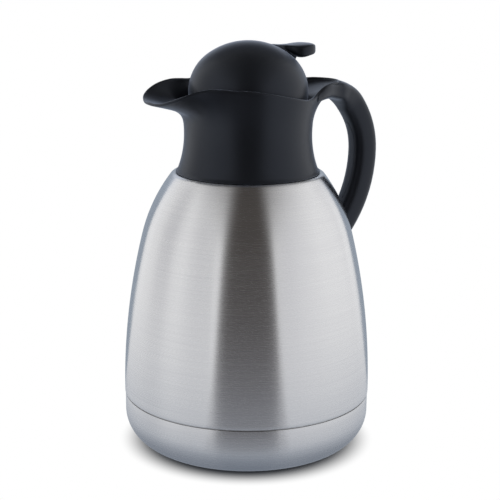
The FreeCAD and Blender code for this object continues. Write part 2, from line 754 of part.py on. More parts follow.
def make_stopper():
    outside = dome_solid(0)
    shell = outside.cut(dome_solid(dome_wall))
    gap = lever_width / 2 + lever_play
    shell = shell.cut(block(slot_front, slot_back, gap, dome_equator, dome_top))
    lugs = block(pin_reach - lug_half_length, pin_reach + lug_half_length, gap + lug_thickness,
                 pin_height - lug_drop, dome_top)
    lugs = lugs.cut(block(0, dome_radius, gap, dome_equator, dome_top)).common(outside)
    dome = shell.fuse(lugs)
    for place in dome_screw_places():
        boss = post(dome_boss_radius, flange_top, dome_top, place.x, place.y).common(outside)
        dome = dome.fuse(boss)
    for place in dome_screw_places():
        dome = dome.cut(rod(screw_radius, place, up, dome_screw_length))
    half_pin = gap + lug_thickness
    dome = dome.cut(pin_rod(pin_radius, half_pin))
    parts["stopper_dome"] = dome.removeSplitter()
    parts["lever_pin"] = pin_rod(pin_radius, half_pin)
    parts["dome_screws"] = Part.makeCompound([screw_solid(place, up, dome_screw_length)
                                              for place in dome_screw_places()])

    thread_radius = neck_ring_bore - thread_play
    flange_radius = dome_radius - dome_wall - flange_play
    plug = lathe([(0, plug_bottom), (plug_radius, plug_bottom), (plug_radius, ring_bottom),
                  (thread_radius, ring_bottom), (thread_radius, ring_top), (port_band_radius, ring_top),
                  (port_band_radius, dome_skirt_bottom), (0, dome_skirt_bottom)])
    plug = plug.cut(post(plug_bore, chamber_bottom, dome_skirt_bottom))
    plug = plug.fuse(post(seat_radius, plug_bottom, seat_top)).cut(post(inlet_radius, plug_bottom, seat_top))
    sill = ring_top + port_sill
    port = block(-plug_radius, -plug_bore / 2, port_width / 2, sill, sill + port_height)
    port = port.cut(block(-plug_radius, -plug_bore / 2, port_rib / 2, sill, sill + port_height))
    plug = plug.cut(port)
    groove = plug_radius - gasket_groove
    groove_bottom = plug_bottom + gasket_sill
    groove_top = groove_bottom + gasket_height
    plug = plug.cut(ring(groove, plug_radius, groove_bottom, groove_top))
    parts["stopper_plug"] = plug.removeSplitter()

    spigot_radius = plug_bore - spigot_fit
    spigot_bottom = dome_skirt_bottom - spigot_height
    spigot = ring(spigot_radius - spigot_wall, spigot_radius, spigot_bottom, dome_skirt_bottom)
    plate = post(flange_radius, dome_skirt_bottom, flange_top)
    plate = plate.fuse([spigot, post(guide_radius, guide_bottom, flange_top)])
    plate = plate.cut(post(stem_radius + stem_fit, guide_bottom, flange_top))
    for place in dome_screw_places():
        plate = plate.cut(rod(screw_radius, place, up, flange_thickness))
    parts["guide_plate"] = plate.removeSplitter()

    brim = liner_neck_radius - gasket_gap
    waist = (groove + brim) / 2
    rib = gasket_height / 4
    parts["stopper_gasket"] = lathe([(groove + gasket_fit, groove_bottom), (waist, groove_bottom),
                                     (brim, groove_bottom + rib), (waist, groove_bottom + 2 * rib),
                                     (brim, groove_bottom + 3 * rib), (waist, groove_top),
                                     (groove + gasket_fit, groove_top)])


def make_lever():
    tip_low = lever_top - lever_tip_thickness
    middle = (lever_front + lever_tip) / 2
    dip = vec(middle, 0, lever_top - lever_dip)
    top = arc(vec(lever_front, 0, lever_top), dip, vec(lever_tip, 0, lever_top))
    heel = (lever_heel, lever_top - lever_heel_thickness)
    throat = (lever_throat, lever_top - lever_throat_thickness)
    below = [(lever_tip, (lever_top + tip_low) / 2), (lever_tip - lever_edge_thickness, tip_low),
             heel, throat, (lever_front, lever_top - lever_edge_thickness)]
    paddle = extruded(closed_face([top], below), lever_tip_half_width)
    root_half = lever_width / 2
    corners = [vec(lever_fan_end, lever_tip_half_width, 0), vec(lever_fan_start, root_half, 0),
               vec(lever_front, root_half, 0), vec(lever_front, -root_half, 0),
               vec(lever_fan_start, -root_half, 0), vec(lever_fan_end, -lever_tip_half_width, 0)]
    fan = [line(a, b) for a, b in zip(corners, corners[1:])]
    fan.append(arc(corners[-1], vec(lever_tip, 0, 0), corners[0]))
    paddle = paddle.common(Part.Face(Part.Wire(fan)).extrude(vec(0, 0, past)))
    neck = [(lever_front, lever_top - lever_edge_thickness), (pin_reach - lever_boss_radius, pin_height),
            (pin_reach, pin_height - lever_boss_radius), (neck_back, pin_height), heel, throat]
    neck = extruded(Part.Face(Part.Wire(run(neck + neck[:1]))), root_half)
    boss = pin_rod(lever_boss_radius, root_half)
    arm = block(-fork_reach, pin_reach, root_half, arm_top - arm_thickness, arm_top)
    fork = block(-fork_reach, arm_width_change, fork_width / 2, arm_top - arm_thickness, arm_top)
    lever = paddle.fuse([neck, boss, arm, fork])
    gap = stem_radius + fork_play
    slot = block(-past, fork_slot_reach, gap, arm_top - arm_thickness, arm_top)
    slot = slot.fuse(post(gap, arm_top - arm_thickness, arm_top, fork_slot_reach))
    lever = lever.cut(slot).cut(pin_rod(pin_radius + pin_fit, root_half))
    parts["thumb_lever"] = lever.removeSplitter()


def make_valve():
    nut_bottom = seat_top - valve_nut_height
    parts["valve_stem"] = post(stem_radius, nut_bottom - stem_tail, cap_top)
    parts["stem_cap"] = ring(stem_radius, cap_radius, cap_bottom, cap_top)
    parts["valve_seal"] = ring(stem_radius, valve_seal_radius, seat_top, seal_top)
    hub_top = disc_top + valve_hub_height
    parts["valve_disc"] = lathe([(stem_radius, seal_top), (valve_disc_radius, seal_top),
                                 (valve_disc_radius, disc_top), (valve_hub_radius, disc_top),
                                 (valve_hub_radius, hub_top), (stem_radius, hub_top)])
    parts["valve_nut"] = ring(stem_radius, valve_nut_radius, nut_bottom, seat_top)


def arc_from(start, tangent, end):
    """Arc that leaves the start along the tangent and reaches the end."""
    chord = end - start
    side = chord - tangent * chord.dot(tangent)
    side.normalize()
    radius = chord.dot(chord) / (2 * chord.dot(side))
    centre = start + side * radius
    middle = (start + end) * 0.5 - centre
    middle.normalize()
    return arc(start, centre + middle * radius, end)


def make_spring():
    bottom = disc_top + spring_wire + spring_seat
    top = guide_bottom - spring_wire - spring_seat
    pitch = (top - bottom) / spring_turns
    climb = pitch / (2 * math.pi)

    def place(turn):
        return vec(spring_radius * math.cos(turn), spring_radius * math.sin(turn), bottom + climb * turn)

    def heading(turn):
        way = vec(-spring_radius * math.sin(turn), spring_radius * math.cos(turn), climb)
        return way.normalize()

    edges = []
    for quarter in range(4 * spring_turns):
        a = quarter * math.pi / 2
        b = a + math.pi / 2
        way_a, way_b = heading(a), heading(b)
        chord = place(b) - place(a)
        both = way_a + way_b
        spread = 2 * (1 - way_a.dot(way_b))
        reach = (math.sqrt(chord.dot(both) ** 2 + spread * chord.dot(chord)) - chord.dot(both)) / spread
        joint = (place(a) + place(b) + (way_a - way_b) * reach) * 0.5
        edges.append(arc_from(place(a), way_a, joint))
        ahead = place(b) - way_b * reach - joint
        edges.append(arc_from(joint, ahead.normalize(), place(b)))
    path = Part.Wire(edges)
    section = Part.Wire(Part.makeCircle(spring_wire, place(0), heading(0)))
    print("least gap between spring turns", round(pitch - 2 * spring_wire, 2), "mm")
    parts["return_spring"] = path.makePipeShell([section], True, False)


make_body()
make_base()
make_collar()
make_handle()
make_stopper()
make_lever()
make_valve()
make_spring()
os.makedirs("parts", exist_ok=True)
for name, shape in parts.items():
    print(name, "solids", len(shape.Solids), "valid", shape.isValid(), "volume", round(shape.Volume, 1))
    shape.exportStep(os.path.join("parts", name + ".step"))
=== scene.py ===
import bmesh
import bpy
import json
import math
from mathutils import Matrix, Vector


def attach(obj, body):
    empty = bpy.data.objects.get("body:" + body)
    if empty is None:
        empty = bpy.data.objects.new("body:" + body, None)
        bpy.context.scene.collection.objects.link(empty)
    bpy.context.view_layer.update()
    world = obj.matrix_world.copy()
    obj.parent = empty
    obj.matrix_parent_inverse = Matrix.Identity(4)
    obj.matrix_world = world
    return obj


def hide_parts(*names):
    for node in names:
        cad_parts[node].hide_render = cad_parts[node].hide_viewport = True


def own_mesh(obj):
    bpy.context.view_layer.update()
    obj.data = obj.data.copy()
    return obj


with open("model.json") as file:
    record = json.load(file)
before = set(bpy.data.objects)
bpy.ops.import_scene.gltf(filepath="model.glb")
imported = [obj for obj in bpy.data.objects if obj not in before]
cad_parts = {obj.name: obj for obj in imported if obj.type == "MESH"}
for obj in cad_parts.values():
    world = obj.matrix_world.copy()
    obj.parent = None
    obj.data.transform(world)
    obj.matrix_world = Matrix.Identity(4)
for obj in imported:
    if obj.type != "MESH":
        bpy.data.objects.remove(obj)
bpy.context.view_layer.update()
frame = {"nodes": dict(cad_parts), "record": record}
scene = bpy.context.scene
scene.view_settings.view_transform = "Standard"

# Double-walled steel coffee carafe: brushed steel body, black moulded collar, handle and screw stopper.
# Shapes are worked out in millimetres and degrees, in the same frame as the solids, and made metres at the end.
# The handle points to +X and the spout to -X.
metres = 0.001
full_turn = 2 * math.pi
upwards = Vector((0, 0, 1))

# Steel body
body_radius = 72.5
body_segments = 192
seam_height = 31.0
# The groove between shell and base cup, drawn 0.3 mm wider than it is so that it shows.
seam_gap = 0.8
seam_round = 0.25
belly_start = 33.5
belly_sweep = 384.96
belly_top = 126.0
shoulder_sweep = 96.19
shoulder_height = 162.2
shoulder_corner = 3.0
steel_wall = 0.8
neck_radius = 32.9
neck_corner = 2.5
neck_top = 176.0
neck_edge = 0.3
vacuum_gap = 5.0
liner_neck = 29.0
liner_fillet = 6.0
liner_fillet_height = 166.2
liner_weld = 36.0
liner_segments = 128
base_radius = 72.2
base_corner = 20.0
base_lift = 0.4
base_wall = 0.5
pad_radius = 46.0
pad_top = 2.8
pad_play = 0.4
pad_groove = 0.5
pad_edge = 0.6
pad_rim = 41.0
pad_segments = 96
rib_middles = (14.0, 24.0, 34.0)
rib_half_width = 1.0

# Collar
collar_foot = 162.5
collar_segments = 240
collar_bore = 33.3
recess_radius = 35.8
recess_top = 165.0
foot_radius = 41.6
foot_edge = 0.3
foot_bead_inset = 0.35
foot_bead_height = 0.9
waist_radius = 36.75
waist_height = 184.5
# Heights above the foot at which the waist is drawn: the first one, the step and how many.
waist_start = 1.3
waist_step = 1.22
waist_rows = 20
lower_sweep = 58.0
upper_sweep = 85.0
flare_slope = 0.16
bend_height = 190.0
mouth_radius = 35.2
rim_wall = 2.2
lip_wall = 1.7
rim_lean = 9.0
plain_reach = 40.6
plain_depth = 7.0
spout_reach = 61.2
spout_lean = 77.1
spout_drop = 1.6
spout_floor = 192.0
spout_deepening = 1.8
spout_ease = 0.7
tail_reach = 57.0
tail_tuck = 4.0
tail_edge = Vector((-1.0, -1.4))
dish_height = 206.5
# How far the curves of the outline run on from bend and lip, at the spout and at the tail.
bend_climb = Vector((0.065, 1.0))
bend_runs = (9.8, 18.0)
lip_runs = (18.6, 8.7)
# The same inside, at the plain rim, the spout and the tail: down from the lip, then out and up from the mouth.
inner_lip_runs = (2.5, 20.0, 0.4)
mouth_runs_out = (0.0, 1.5, 6.7)
mouth_runs_up = (2.5, 9.0, 2.4)
outside_steps = 18
lip_steps = 6
inside_steps = 14
# Direction from the handle, reach from the axis and height above the collar's foot, along half of the rim.
rim_line = [(0, 57.0, 50.7), (4.4, 56.6, 50.7), (9.1, 55.2, 50.7), (12.8, 53.3, 50.7), (16.3, 50.8, 50.7),
            (21.1, 47.2, 50.2), (25.8, 44.4, 49.2), (31.0, 42.0, 47.4), (36.8, 40.4, 45.6), (43.0, 39.7, 44.5),
            (50.0, 39.5, 44.0), (58.0, 39.5, 44.1), (77.0, 40.0, 46.5), (90.0, 40.3, 48.4),
            (103.0, 40.6, 50.1), (116.0, 40.8, 51.2), (126.0, 41.2, 51.2), (135.0, 43.1, 51.9),
            (143.0, 47.2, 52.1), (150.0, 52.8, 50.4), (156.0, 57.1, 47.7), (162.0, 59.6, 45.3),
            (168.0, 60.4, 43.6), (174.0, 60.9, 43.0), (180, 61.2, 43.0)]

# Threaded ring in the collar
ring_bottom = 178.3
ring_top = 190.8
ring_radius = 34.2
ring_edge = 0.5
ring_bore_edge = 0.4
ring_room = 34.35
ring_seat = 176.9
ring_segments = 96
notch_count = 6
# Blocks are given by their ends along X, half width, bottom and top.
notch_block = (30.0, 33.0, 3.0, ring_top - 2.0, ring_top + 1.0)

# Threads of ring and plug
thread_lead = 18.0
thread_starts = 3
thread_turn = 195.0
thread_steps = 40
thread_width = 2.4
thread_bottom = ring_bottom + 1.0
thread_sink = 0.3
# The rounding of the crest, and its half width under and over the rounding as shares of the thread's.
crest_round = 0.3
crest_under = 0.55
crest_over = 0.35
plug_thread_root = 28.7
plug_thread_top = 31.4
plug_thread_start = 0.0
ring_thread_root = 31.8
ring_thread_top = 29.2
ring_thread_start = 60.0

# Stopper
dome_radius = 34.15
dome_skirt_bottom = 204.0
dome_skirt_edge = 0.5
dome_equator = 208.5
dome_rise = 28.75
dome_side_sweep = 26.0
dome_wall = 2.4
dome_segments = 160
slot_block = (12.4, 30.0, 4.6, dome_equator + 1.0, dome_equator + dome_rise + 5.0)

# Coil spring
spring_radius = 4.75
spring_wire = 0.55
spring_turns = 5
spring_bottom = 173.3
spring_top = 189.4
spring_steps = 32
spring_points = 12

# Lever: reach along it, half width, top and underside of its paddle.
paddle_sizes = [(14.9, 3.6, 234.4, 233.1), (15.6, 4.1, 234.6, 232.9), (18.0, 4.2, 234.5, 232.2),
                (21.0, 4.25, 234.4, 231.4), (24.0, 6.4, 234.4, 229.9), (26.0, 8.4, 234.4, 228.5),
                (28.0, 9.8, 234.5, 227.5), (30.0, 10.6, 234.7, 227.1), (32.5, 10.8, 234.9, 227.4),
                (35.0, 10.2, 235.0, 228.0), (37.3, 8.9, 234.9, 228.4), (39.2, 6.7, 234.6, 229.0),
                (40.3, 4.4, 234.0, 229.9), (40.9, 2.3, 233.2, 231.1)]
paddle_steps = 60
paddle_points = 48
paddle_top_power = 7.0
paddle_under_power = 4.5
paddle_draft = 0.03
paddle_crown = 0.2
# Outlines of the web under the paddle and of the arm to the fork.
lever_web = [(15.5, 233.2), (17.6, 225.0), (19.0, 221.0), (22.0, 219.8), (25.0, 221.0), (27.2, 224.5),
             (29.5, 229.4), (22.0, 232.0)]
lever_arm = [(10.0, 217.6), (22.0, 219.8), (22.0, 223.5), (18.0, 221.6), (10.0, 221.6)]
lever_half_width = 4.15
lever_edge = 0.4
fork_block = (-4.0, 10.4, 5.5, 217.6, 221.6)
fork_opening = (-6.0, 1.6, 2.9, 216.0, 223.0)

# Handle
handle_height = 205.3
bend_start = 53.02
bend_sweep = 16.75
back_sweep = 47.0
lower_handle_sweep = 78.1
bend_end = 54.2
back_end = 90.0
foot_end = 138.0
handle_gap = 0.35
handle_steps = 40
handle_points = 40
handle_power = 3.0
# Reach from the axis, width, thickness and shift out of the middle line where the root hugs the collar's tail.
saddle_sizes = [(32.0, 50.0, 9.0, 0.5), (36.0, 47.0, 10.0, 1.7), (40.0, 43.2, 12.0, 3.2),
                (45.0, 36.2, 11.6, 3.4), (49.0, 31.2, 11.2, 2.75)]
# Heading below level, width, thickness and shift out of the middle line.
handle_sizes = [(0.0, 28.5, 11.5, 2.15), (25.0, 22.5, 13.1, 0.75), (50.0, 17.6, 14.6, 0.0),
                (72.0, 16.6, 14.3, 0.0), (90.0, 16.4, 14.3, 0.0), (108.0, 16.4, 14.3, 0.0),
                (124.0, 16.6, 13.9, 0.0), (138.0, 17.0, 13.3, 0.0)]
inlay_half_width = 3.5
inlay_half_depth = 0.95
inlay_sink = 0.75
inlay_start = 66.0
inlay_end = 114.0
inlay_steps = 24
inlay_points = 24
inlay_power = 4.0
inlay_taper = 4
inlay_end_share = 0.15
# Heights between which the collar and the body are cut out of the handle.
collar_room_bottom = 150.0
collar_room_top = 240.0
body_room_bottom = 60.0
body_room_side = 62.0


def linear(hex_colour):
    """Linear colour with full alpha from an sRGB hex value."""
    shares = [int(hex_colour[i:i + 2], 16) / 255 for i in (1, 3, 5)]
    return tuple(s / 12.92 if s <= 0.04045 else ((s + 0.055) / 1.055) ** 2.4 for s in shares) + (1.0,)


def add(tree, kind, inputs=None, **settings):
    """Adds a node, sets its properties, and gives each named input a value or a link."""
    node = tree.nodes.new(kind)
    for key, value in settings.items():
        setattr(node, key, value)
    for key, value in (inputs or {}).items():
        socket = node.inputs[key]
        if isinstance(value, bpy.types.NodeSocket):
            tree.links.new(value, socket)
        else:
            socket.default_value = value
    return node


def ramp(node, stops):
    """Sets a colour ramp's stops from (place, hex colour) pairs."""
    elements = node.color_ramp.elements
    while len(elements) < len(stops):
        elements.new(0.5)
    for element, (place, colour) in zip(elements, stops):
        element.position = place
        element.color = linear(colour)
    return node.outputs["Color"]


def material(name):
    """A new material, its node tree, and the place on the object, which is all that the tree holds."""
    made = bpy.data.materials.new(name)
    made.use_nodes = True
    tree = made.node_tree
    tree.nodes.clear()
    return made, tree, add(tree, "ShaderNodeTexCoord").outputs["Object"]


def brushed_steel():
    # Stainless steel sheet, ground with a belt while it turned: long level scratches that spread
    # reflections up and down and leave them sharp from side to side. Scratches of 0.1 mm are too fine
    # to show, so they are drawn 0.5 mm apart. Grooves and gaps narrower than 1.5 mm get painted shade in their
    # colour.
    scratches_per_metre = (16.0, 16.0, 2000.0)
    bands_per_metre = (4.0, 4.0, 240.0)
    scratch_depth = 0.04 * metres
    groove_width = 1.5 * metres
    made, tree, place = material("stainless_steel_belt_brushed")
    fine = add(tree, "ShaderNodeMapping", {"Vector": place, "Scale": scratches_per_metre})
    lines = add(tree, "ShaderNodeTexNoise", {"Vector": fine.outputs["Vector"], "Scale": 1.0, "Detail": 3.0})
    broad = add(tree, "ShaderNodeMapping", {"Vector": place, "Scale": bands_per_metre})
    bands = add(tree, "ShaderNodeTexNoise", {"Vector": broad.outputs["Vector"], "Scale": 1.0, "Detail": 2.0})
    both = add(tree, "ShaderNodeMath", {0: bands.outputs["Fac"], 1: 0.2, 2: lines.outputs["Fac"]},
               operation="MULTIPLY_ADD")
    tint = ramp(add(tree, "ShaderNodeValToRGB", {"Fac": both.outputs[0]}), [(0.4, "#dbdbdd"), (0.8, "#e3e3e4")])
    rough = add(tree, "ShaderNodeMapRange",
                {"Value": both.outputs[0], "From Min": 0.4, "From Max": 0.8, "To Min": 0.26, "To Max": 0.28})
    bump = add(tree, "ShaderNodeBump",
               {"Height": lines.outputs["Fac"], "Strength": 0.008, "Distance": scratch_depth})
    round_way = add(tree, "ShaderNodeTangent", direction_type="RADIAL", axis="Z")
    # Ambient occlusion darkens the steel's colour in grooves and narrow gaps: painted shade.
    painted_groove_shade = add(tree, "ShaderNodeAmbientOcclusion", {"Color": tint, "Distance": groove_width}, samples=8)
    shader = add(tree, "ShaderNodeBsdfPrincipled",
                 {"Base Color": painted_groove_shade.outputs["Color"], "Roughness": rough.outputs["Result"], "Metallic": 1.0,
                  "Anisotropic": 1.0, "Anisotropic Rotation": 0.25, "Normal": bump.outputs["Normal"],
                  "Tangent": round_way.outputs["Tangent"]})
    add(tree, "ShaderNodeOutputMaterial", {"Surface": shader.outputs[0]})
    return made


def plain_steel(name, marks_per_metre, detail, stops, rough_low, rough_high):
    """Bare steel with faint marks in its colour and its shine."""
    made, tree, place = material(name)
    long = add(tree, "ShaderNodeMapping", {"Vector": place, "Scale": marks_per_metre})
    marks = add(tree, "ShaderNodeTexNoise", {"Vector": long.outputs["Vector"], "Scale": 1.0, "Detail": detail})
    tint = ramp(add(tree, "ShaderNodeValToRGB", {"Fac": marks.outputs["Fac"]}), stops)
    rough = add(tree, "ShaderNodeMapRange",
                {"Value": marks.outputs["Fac"], "To Min": rough_low, "To Max": rough_high})
    shader = add(tree, "ShaderNodeBsdfPrincipled",
                 {"Base Color": tint, "Roughness": rough.outputs["Result"], "Metallic": 1.0})
    add(tree, "ShaderNodeOutputMaterial", {"Surface": shader.outputs[0]})
    return made


def moulded_plastic(name, dark, light, rough_low, rough_high, grain_mm, depth_mm, bloom=0.0):
    """Moulded plastic or rubber: two close colours, a fine grain, a shine that varies a little, a dusty bloom."""
    clouds_per_metre = 45.0
    made, tree, place = material(name)
    grain = add(tree, "ShaderNodeTexNoise",
                {"Vector": place, "Scale": 1 / (grain_mm * metres), "Detail": 2.0})
    cloud = add(tree, "ShaderNodeTexNoise", {"Vector": place, "Scale": clouds_per_metre, "Detail": 3.0})
    tint = ramp(add(tree, "ShaderNodeValToRGB", {"Fac": cloud.outputs["Fac"]}), [(0.3, dark), (0.75, light)])
    rough = add(tree, "ShaderNodeMapRange",
                {"Value": grain.outputs["Fac"], "From Min": 0.3, "From Max": 0.7,
                 "To Min": rough_low, "To Max": rough_high})
    bump = add(tree, "ShaderNodeBump",
               {"Height": grain.outputs["Fac"], "Strength": 0.25, "Distance": depth_mm * metres})
    # Reflections and the grazing sheen are tinted pale blue: painted bluish reflection of the surroundings.
    shader = add(tree, "ShaderNodeBsdfPrincipled",
                 {"Base Color": tint, "Roughness": rough.outputs["Result"], "IOR": 1.49,
                  "Specular Tint": linear("#dbe5fb"), "Sheen Weight": bloom, "Sheen Roughness": 0.3,
                  "Sheen Tint": linear("#b9c5dc"), "Normal": bump.outputs["Normal"]})
    add(tree, "ShaderNodeOutputMaterial", {"Surface": shader.outputs[0]})
    return made


finishes = {
    "brushed_steel": brushed_steel(),
    # Deep-drawn stainless sheet, left as it came from the tool: a dull even grey with faint drawing marks.
    "bare_steel": plain_steel("stainless_steel_deep_drawn", (300.0, 300.0, 12.0), 2.0,
                              [(0.35, "#bcbdbf"), (0.7, "#d0d0d1")], 0.3, 0.42),
    # Bright steel screws, pin, stem and spring: smooth turned metal with slight cloudy wear.
    "small_steel": plain_steel("stainless_steel_turned", (900.0, 900.0, 900.0), 3.0,
                               [(0.3, "#c2c2c4"), (0.7, "#dddddd")], 0.16, 0.3),
    # Black polypropylene from a spark-eroded mould: an even matt skin that goes grey where light grazes it.
    "black_plastic": moulded_plastic("polypropylene_black_fine_grain", "#050608", "#08090c", 0.36, 0.44,
                                     0.5, 0.02, 0.8),
    # Soft elastomer strip moulded into the grip: duller than the grip itself, and lighter and bluer, partly its own
    # colour and partly painted reflection.
    "grip_inlay": moulded_plastic("elastomer_soft_grip", "#272a30", "#30343b", 0.5, 0.6, 0.6, 0.03, 0.9),
    # Plain moulded polypropylene inside the stopper: smoother than the outside, with a low gloss.
    "inner_plastic": moulded_plastic("polypropylene_black_plain", "#17181b", "#1f2024", 0.32, 0.42, 0.8, 0.01),
    # Cast silicone seals: milky grey with a waxy shine.
    "silicone": moulded_plastic("silicone_moulded_grey", "#b4b4af", "#c6c5bf", 0.38, 0.5, 0.7, 0.01),
    # Black foot rubber: dull and slightly dusty.
    "pad_rubber": moulded_plastic("rubber_moulded_black", "#1a1a1a", "#262626", 0.7, 0.85, 0.4, 0.05),
}


def mix(a, b, share):
    """The value at a share of the way from a to b."""
    return a + (b - a) * share


def arc(centre, radius, start, end, steps):
    """(radius, height) points along an arc, angles in degrees from level."""
    points = []
    for step in range(steps + 1):
        turn = math.radians(start + (end - start) * step / steps)
        points.append((centre[0] + radius * math.cos(turn), centre[1] + radius * math.sin(turn)))
    return points


def bezier(a, b, c, d, steps):
    """Points along a curve from a to d, without a itself."""
    points = []
    for step in range(1, steps + 1):
        t = step / steps
        s = 1 - t
        points.append(a * s ** 3 + b * 3 * s * s * t + c * 3 * s * t * t + d * t ** 3)
    return points


def squircle(count, power):
    """Points round a softened rectangle of half size 1."""
    points = []
    for index in range(count):
        turn = full_turn * index / count
        c, s = math.cos(turn), math.sin(turn)
        points.append((math.copysign(abs(c) ** (2 / power), c), math.copysign(abs(s) ** (2 / power), s)))
    return points


def between(table, place):
    """Smooth values at a place in a table of (place, value, value...) rows, mirrored at both ends."""
    first = (2 * table[0][0] - table[1][0], *table[1][1:])
    last = (2 * table[-1][0] - table[-2][0], *table[-2][1:])
    rows = [first, *table, last]
    index = 1
    while index < len(rows) - 3 and place > rows[index + 1][0]:
        index += 1
    before, low, high, after = rows[index - 1:index + 3]
    span = high[0] - low[0]
    share = (place - low[0]) / span
    values = []
    for column in range(1, len(low)):
        rise_low = (high[column] - before[column]) / (high[0] - before[0]) * span
        rise_high = (after[column] - low[column]) / (after[0] - low[0]) * span
        cube, square = share ** 3, share ** 2
        values.append((2 * cube - 3 * square + 1) * low[column] + (cube - 2 * square + share) * rise_low
                      + (3 * square - 2 * cube) * high[column] + (cube - square) * rise_high)
    return values


def spin_edges(bm, axis, angle, steps, closed):
    """Spins a shape's edges round an axis through the origin, which makes a skin."""
    bmesh.ops.spin(bm, geom=bm.verts[:] + bm.edges[:], cent=(0, 0, 0), axis=axis, dvec=(0, 0, 0),
                   angle=angle, steps=steps, use_merge=closed, use_duplicate=False)


def clean(bm):
    """Joins points that coincide and turns all faces outwards."""
    bmesh.ops.remove_doubles(bm, verts=bm.verts, dist=1e-4)
    bmesh.ops.recalc_face_normals(bm, faces=bm.faces)
    return bm


def spun(points, steps):
    """The skin of a closed line of (radius, height) points spun round the axis."""
    bm = bmesh.new()
    verts = [bm.verts.new((x, 0, z)) for x, z in points]
    for a, b in zip(verts, verts[1:] + verts[:1]):
        bm.edges.new((a, b))
    spin_edges(bm, (0, 0, 1), full_turn, steps, True)
    return bm


def turned(points, steps):
    """A closed outline of (radius, height) points spun round the axis."""
    return clean(spun(points, steps))


def drawn_round(lines, steps):
    """Spins a plain upright line of as many points as the outlines have, then moves each point to its outline."""
    bm = spun([(1, row) for row in range(len(lines(0.0)))], steps)
    columns = {}
    for vert in bm.verts:
        turn = math.atan2(vert.co.y, vert.co.x)
        key = round(abs(math.degrees(turn)), 3)
        if key not in columns:
            columns[key] = lines(key)
        radius, height = columns[key][round(vert.co.z)]
        vert.co = (radius * math.cos(turn), radius * math.sin(turn), height)
    return clean(bm)


def loft(rings):
    """A closed skin through rings of points, one ring after the other."""
    bm = bmesh.new()
    count = len(rings[0])
    made = bmesh.ops.create_circle(bm, cap_ends=True, cap_tris=False, radius=1.0, segments=count)
    edge_loop = list(bm.edges)
    verts = made["verts"]
    for index, ring in enumerate(rings):
        if index:
            grown = bmesh.ops.extrude_edge_only(bm, edges=edge_loop)["geom"]
            edge_loop = [e for e in grown if isinstance(e, bmesh.types.BMEdge) and len(e.link_faces) == 1]
            fresh = [v for v in grown if isinstance(v, bmesh.types.BMVert)]
            by_place = {tuple(round(c, 5) for c in v.co): v for v in fresh}
            verts = [by_place[tuple(round(c, 5) for c in v.co)] for v in verts]
        for vert, point in zip(verts, ring):
            vert.co = point
    bmesh.ops.edgeloop_fill(bm, edges=edge_loop)
    bmesh.ops.recalc_face_normals(bm, faces=bm.faces)
    return bm


def box(x0, x1, half_width, z0, z1):
    """A block between two ends, two sides and two heights."""
    bm = bmesh.new()
    bmesh.ops.create_cube(bm, size=1.0)
    bmesh.ops.scale(bm, vec=(x1 - x0, 2 * half_width, z1 - z0), verts=bm.verts)
    bmesh.ops.translate(bm, vec=((x0 + x1) / 2, 0, (z0 + z1) / 2), verts=bm.verts)
    return bm


def as_mesh(bm, name):
    """Turns a shape into a mesh and lets the shape go."""
    mesh = bpy.data.meshes.new(name)
    bm.to_mesh(mesh)
    bm.free()
    return mesh


def put(name, data):
    """A new object in the scene."""
    obj = bpy.data.objects.new(name, data)
    scene.collection.objects.link(obj)
    return obj


def join(bm, other):
    """Adds the other shape to the first one."""
    mesh = as_mesh(other, "joined")
    bm.from_mesh(mesh)
    bpy.data.meshes.remove(mesh)


def carved(bm, *cutters):
    """The first shape with the others taken away from it."""
    target = put("carved", as_mesh(bm, "carved"))
    tools = [put("cutter", as_mesh(cutter, "cutter")) for cutter in cutters]
    for tool in tools:
        cut = target.modifiers.new("cut", "BOOLEAN")
        cut.operation = "DIFFERENCE"
        cut.solver = "EXACT"
        cut.object = tool
    bpy.context.view_layer.update()
    result = bmesh.new()
    result.from_object(target, bpy.context.evaluated_depsgraph_get())
    for obj in [target] + tools:
        bpy.data.objects.remove(obj)
    return result


def piece(name, bm, body, slot, *nodes, sharp=38.0):
    """Makes a piece in metres that rides on a body, has a finish, and may stand for nodes of the solids."""
    bmesh.ops.scale(bm, vec=(metres, metres, metres), verts=bm.verts)
    mesh = as_mesh(bm, name)
    mesh.shade_smooth()
    mesh.set_sharp_from_angle(angle=math.radians(sharp))
    mesh.materials.append(finishes[slot])
    obj = put(name, mesh)
    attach(obj, body)
    if nodes:
        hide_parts(*nodes)
    return obj


# Steel body
belly_turn = math.asin((belly_top - belly_start) / belly_sweep)


def shell_line(inset, low):
    """The outer shell's outline from its lower edge to the top of its neck, set in by an inset."""
    belly_centre = (body_radius - belly_sweep, belly_start)
    step = belly_sweep - shoulder_sweep
    shoulder_centre = (belly_centre[0] + step * math.cos(belly_turn), belly_centre[1] + step * math.sin(belly_turn))
    size = shoulder_corner - inset
    top = shoulder_height - inset
    rise = top - size - shoulder_centre[1]
    reach = shoulder_sweep - inset - size
    corner = (shoulder_centre[0] + math.sqrt(reach ** 2 - rise ** 2), top - size)
    turn, angle = math.degrees(belly_turn), math.degrees(math.asin(rise / reach))
    root = neck_corner + inset
    neck = neck_radius - inset
    line = [(body_radius - inset, low)] + arc(belly_centre, belly_sweep - inset, 0, turn, 22)
    line += arc(shoulder_centre, shoulder_sweep - inset, turn, angle, 22)[1:]
    line += arc(corner, size, angle, 90, 6)[1:]
    return line + arc((neck + root, top + root), root, 270, 180, 6) + [(neck, neck_top)]


def make_shell():
    """The brushed shell from the seam up to its neck."""
    low = seam_height + seam_gap / 2
    outside = shell_line(0, low + seam_round)
    inside = shell_line(steel_wall, low)
    lip = arc((body_radius - seam_round, low + seam_round), seam_round, 270, 360, 3)[:-1]
    piece("brushed_body_shell", turned(lip + outside + inside[::-1], body_segments), "carafe", "brushed_steel",
          "outer_shell")


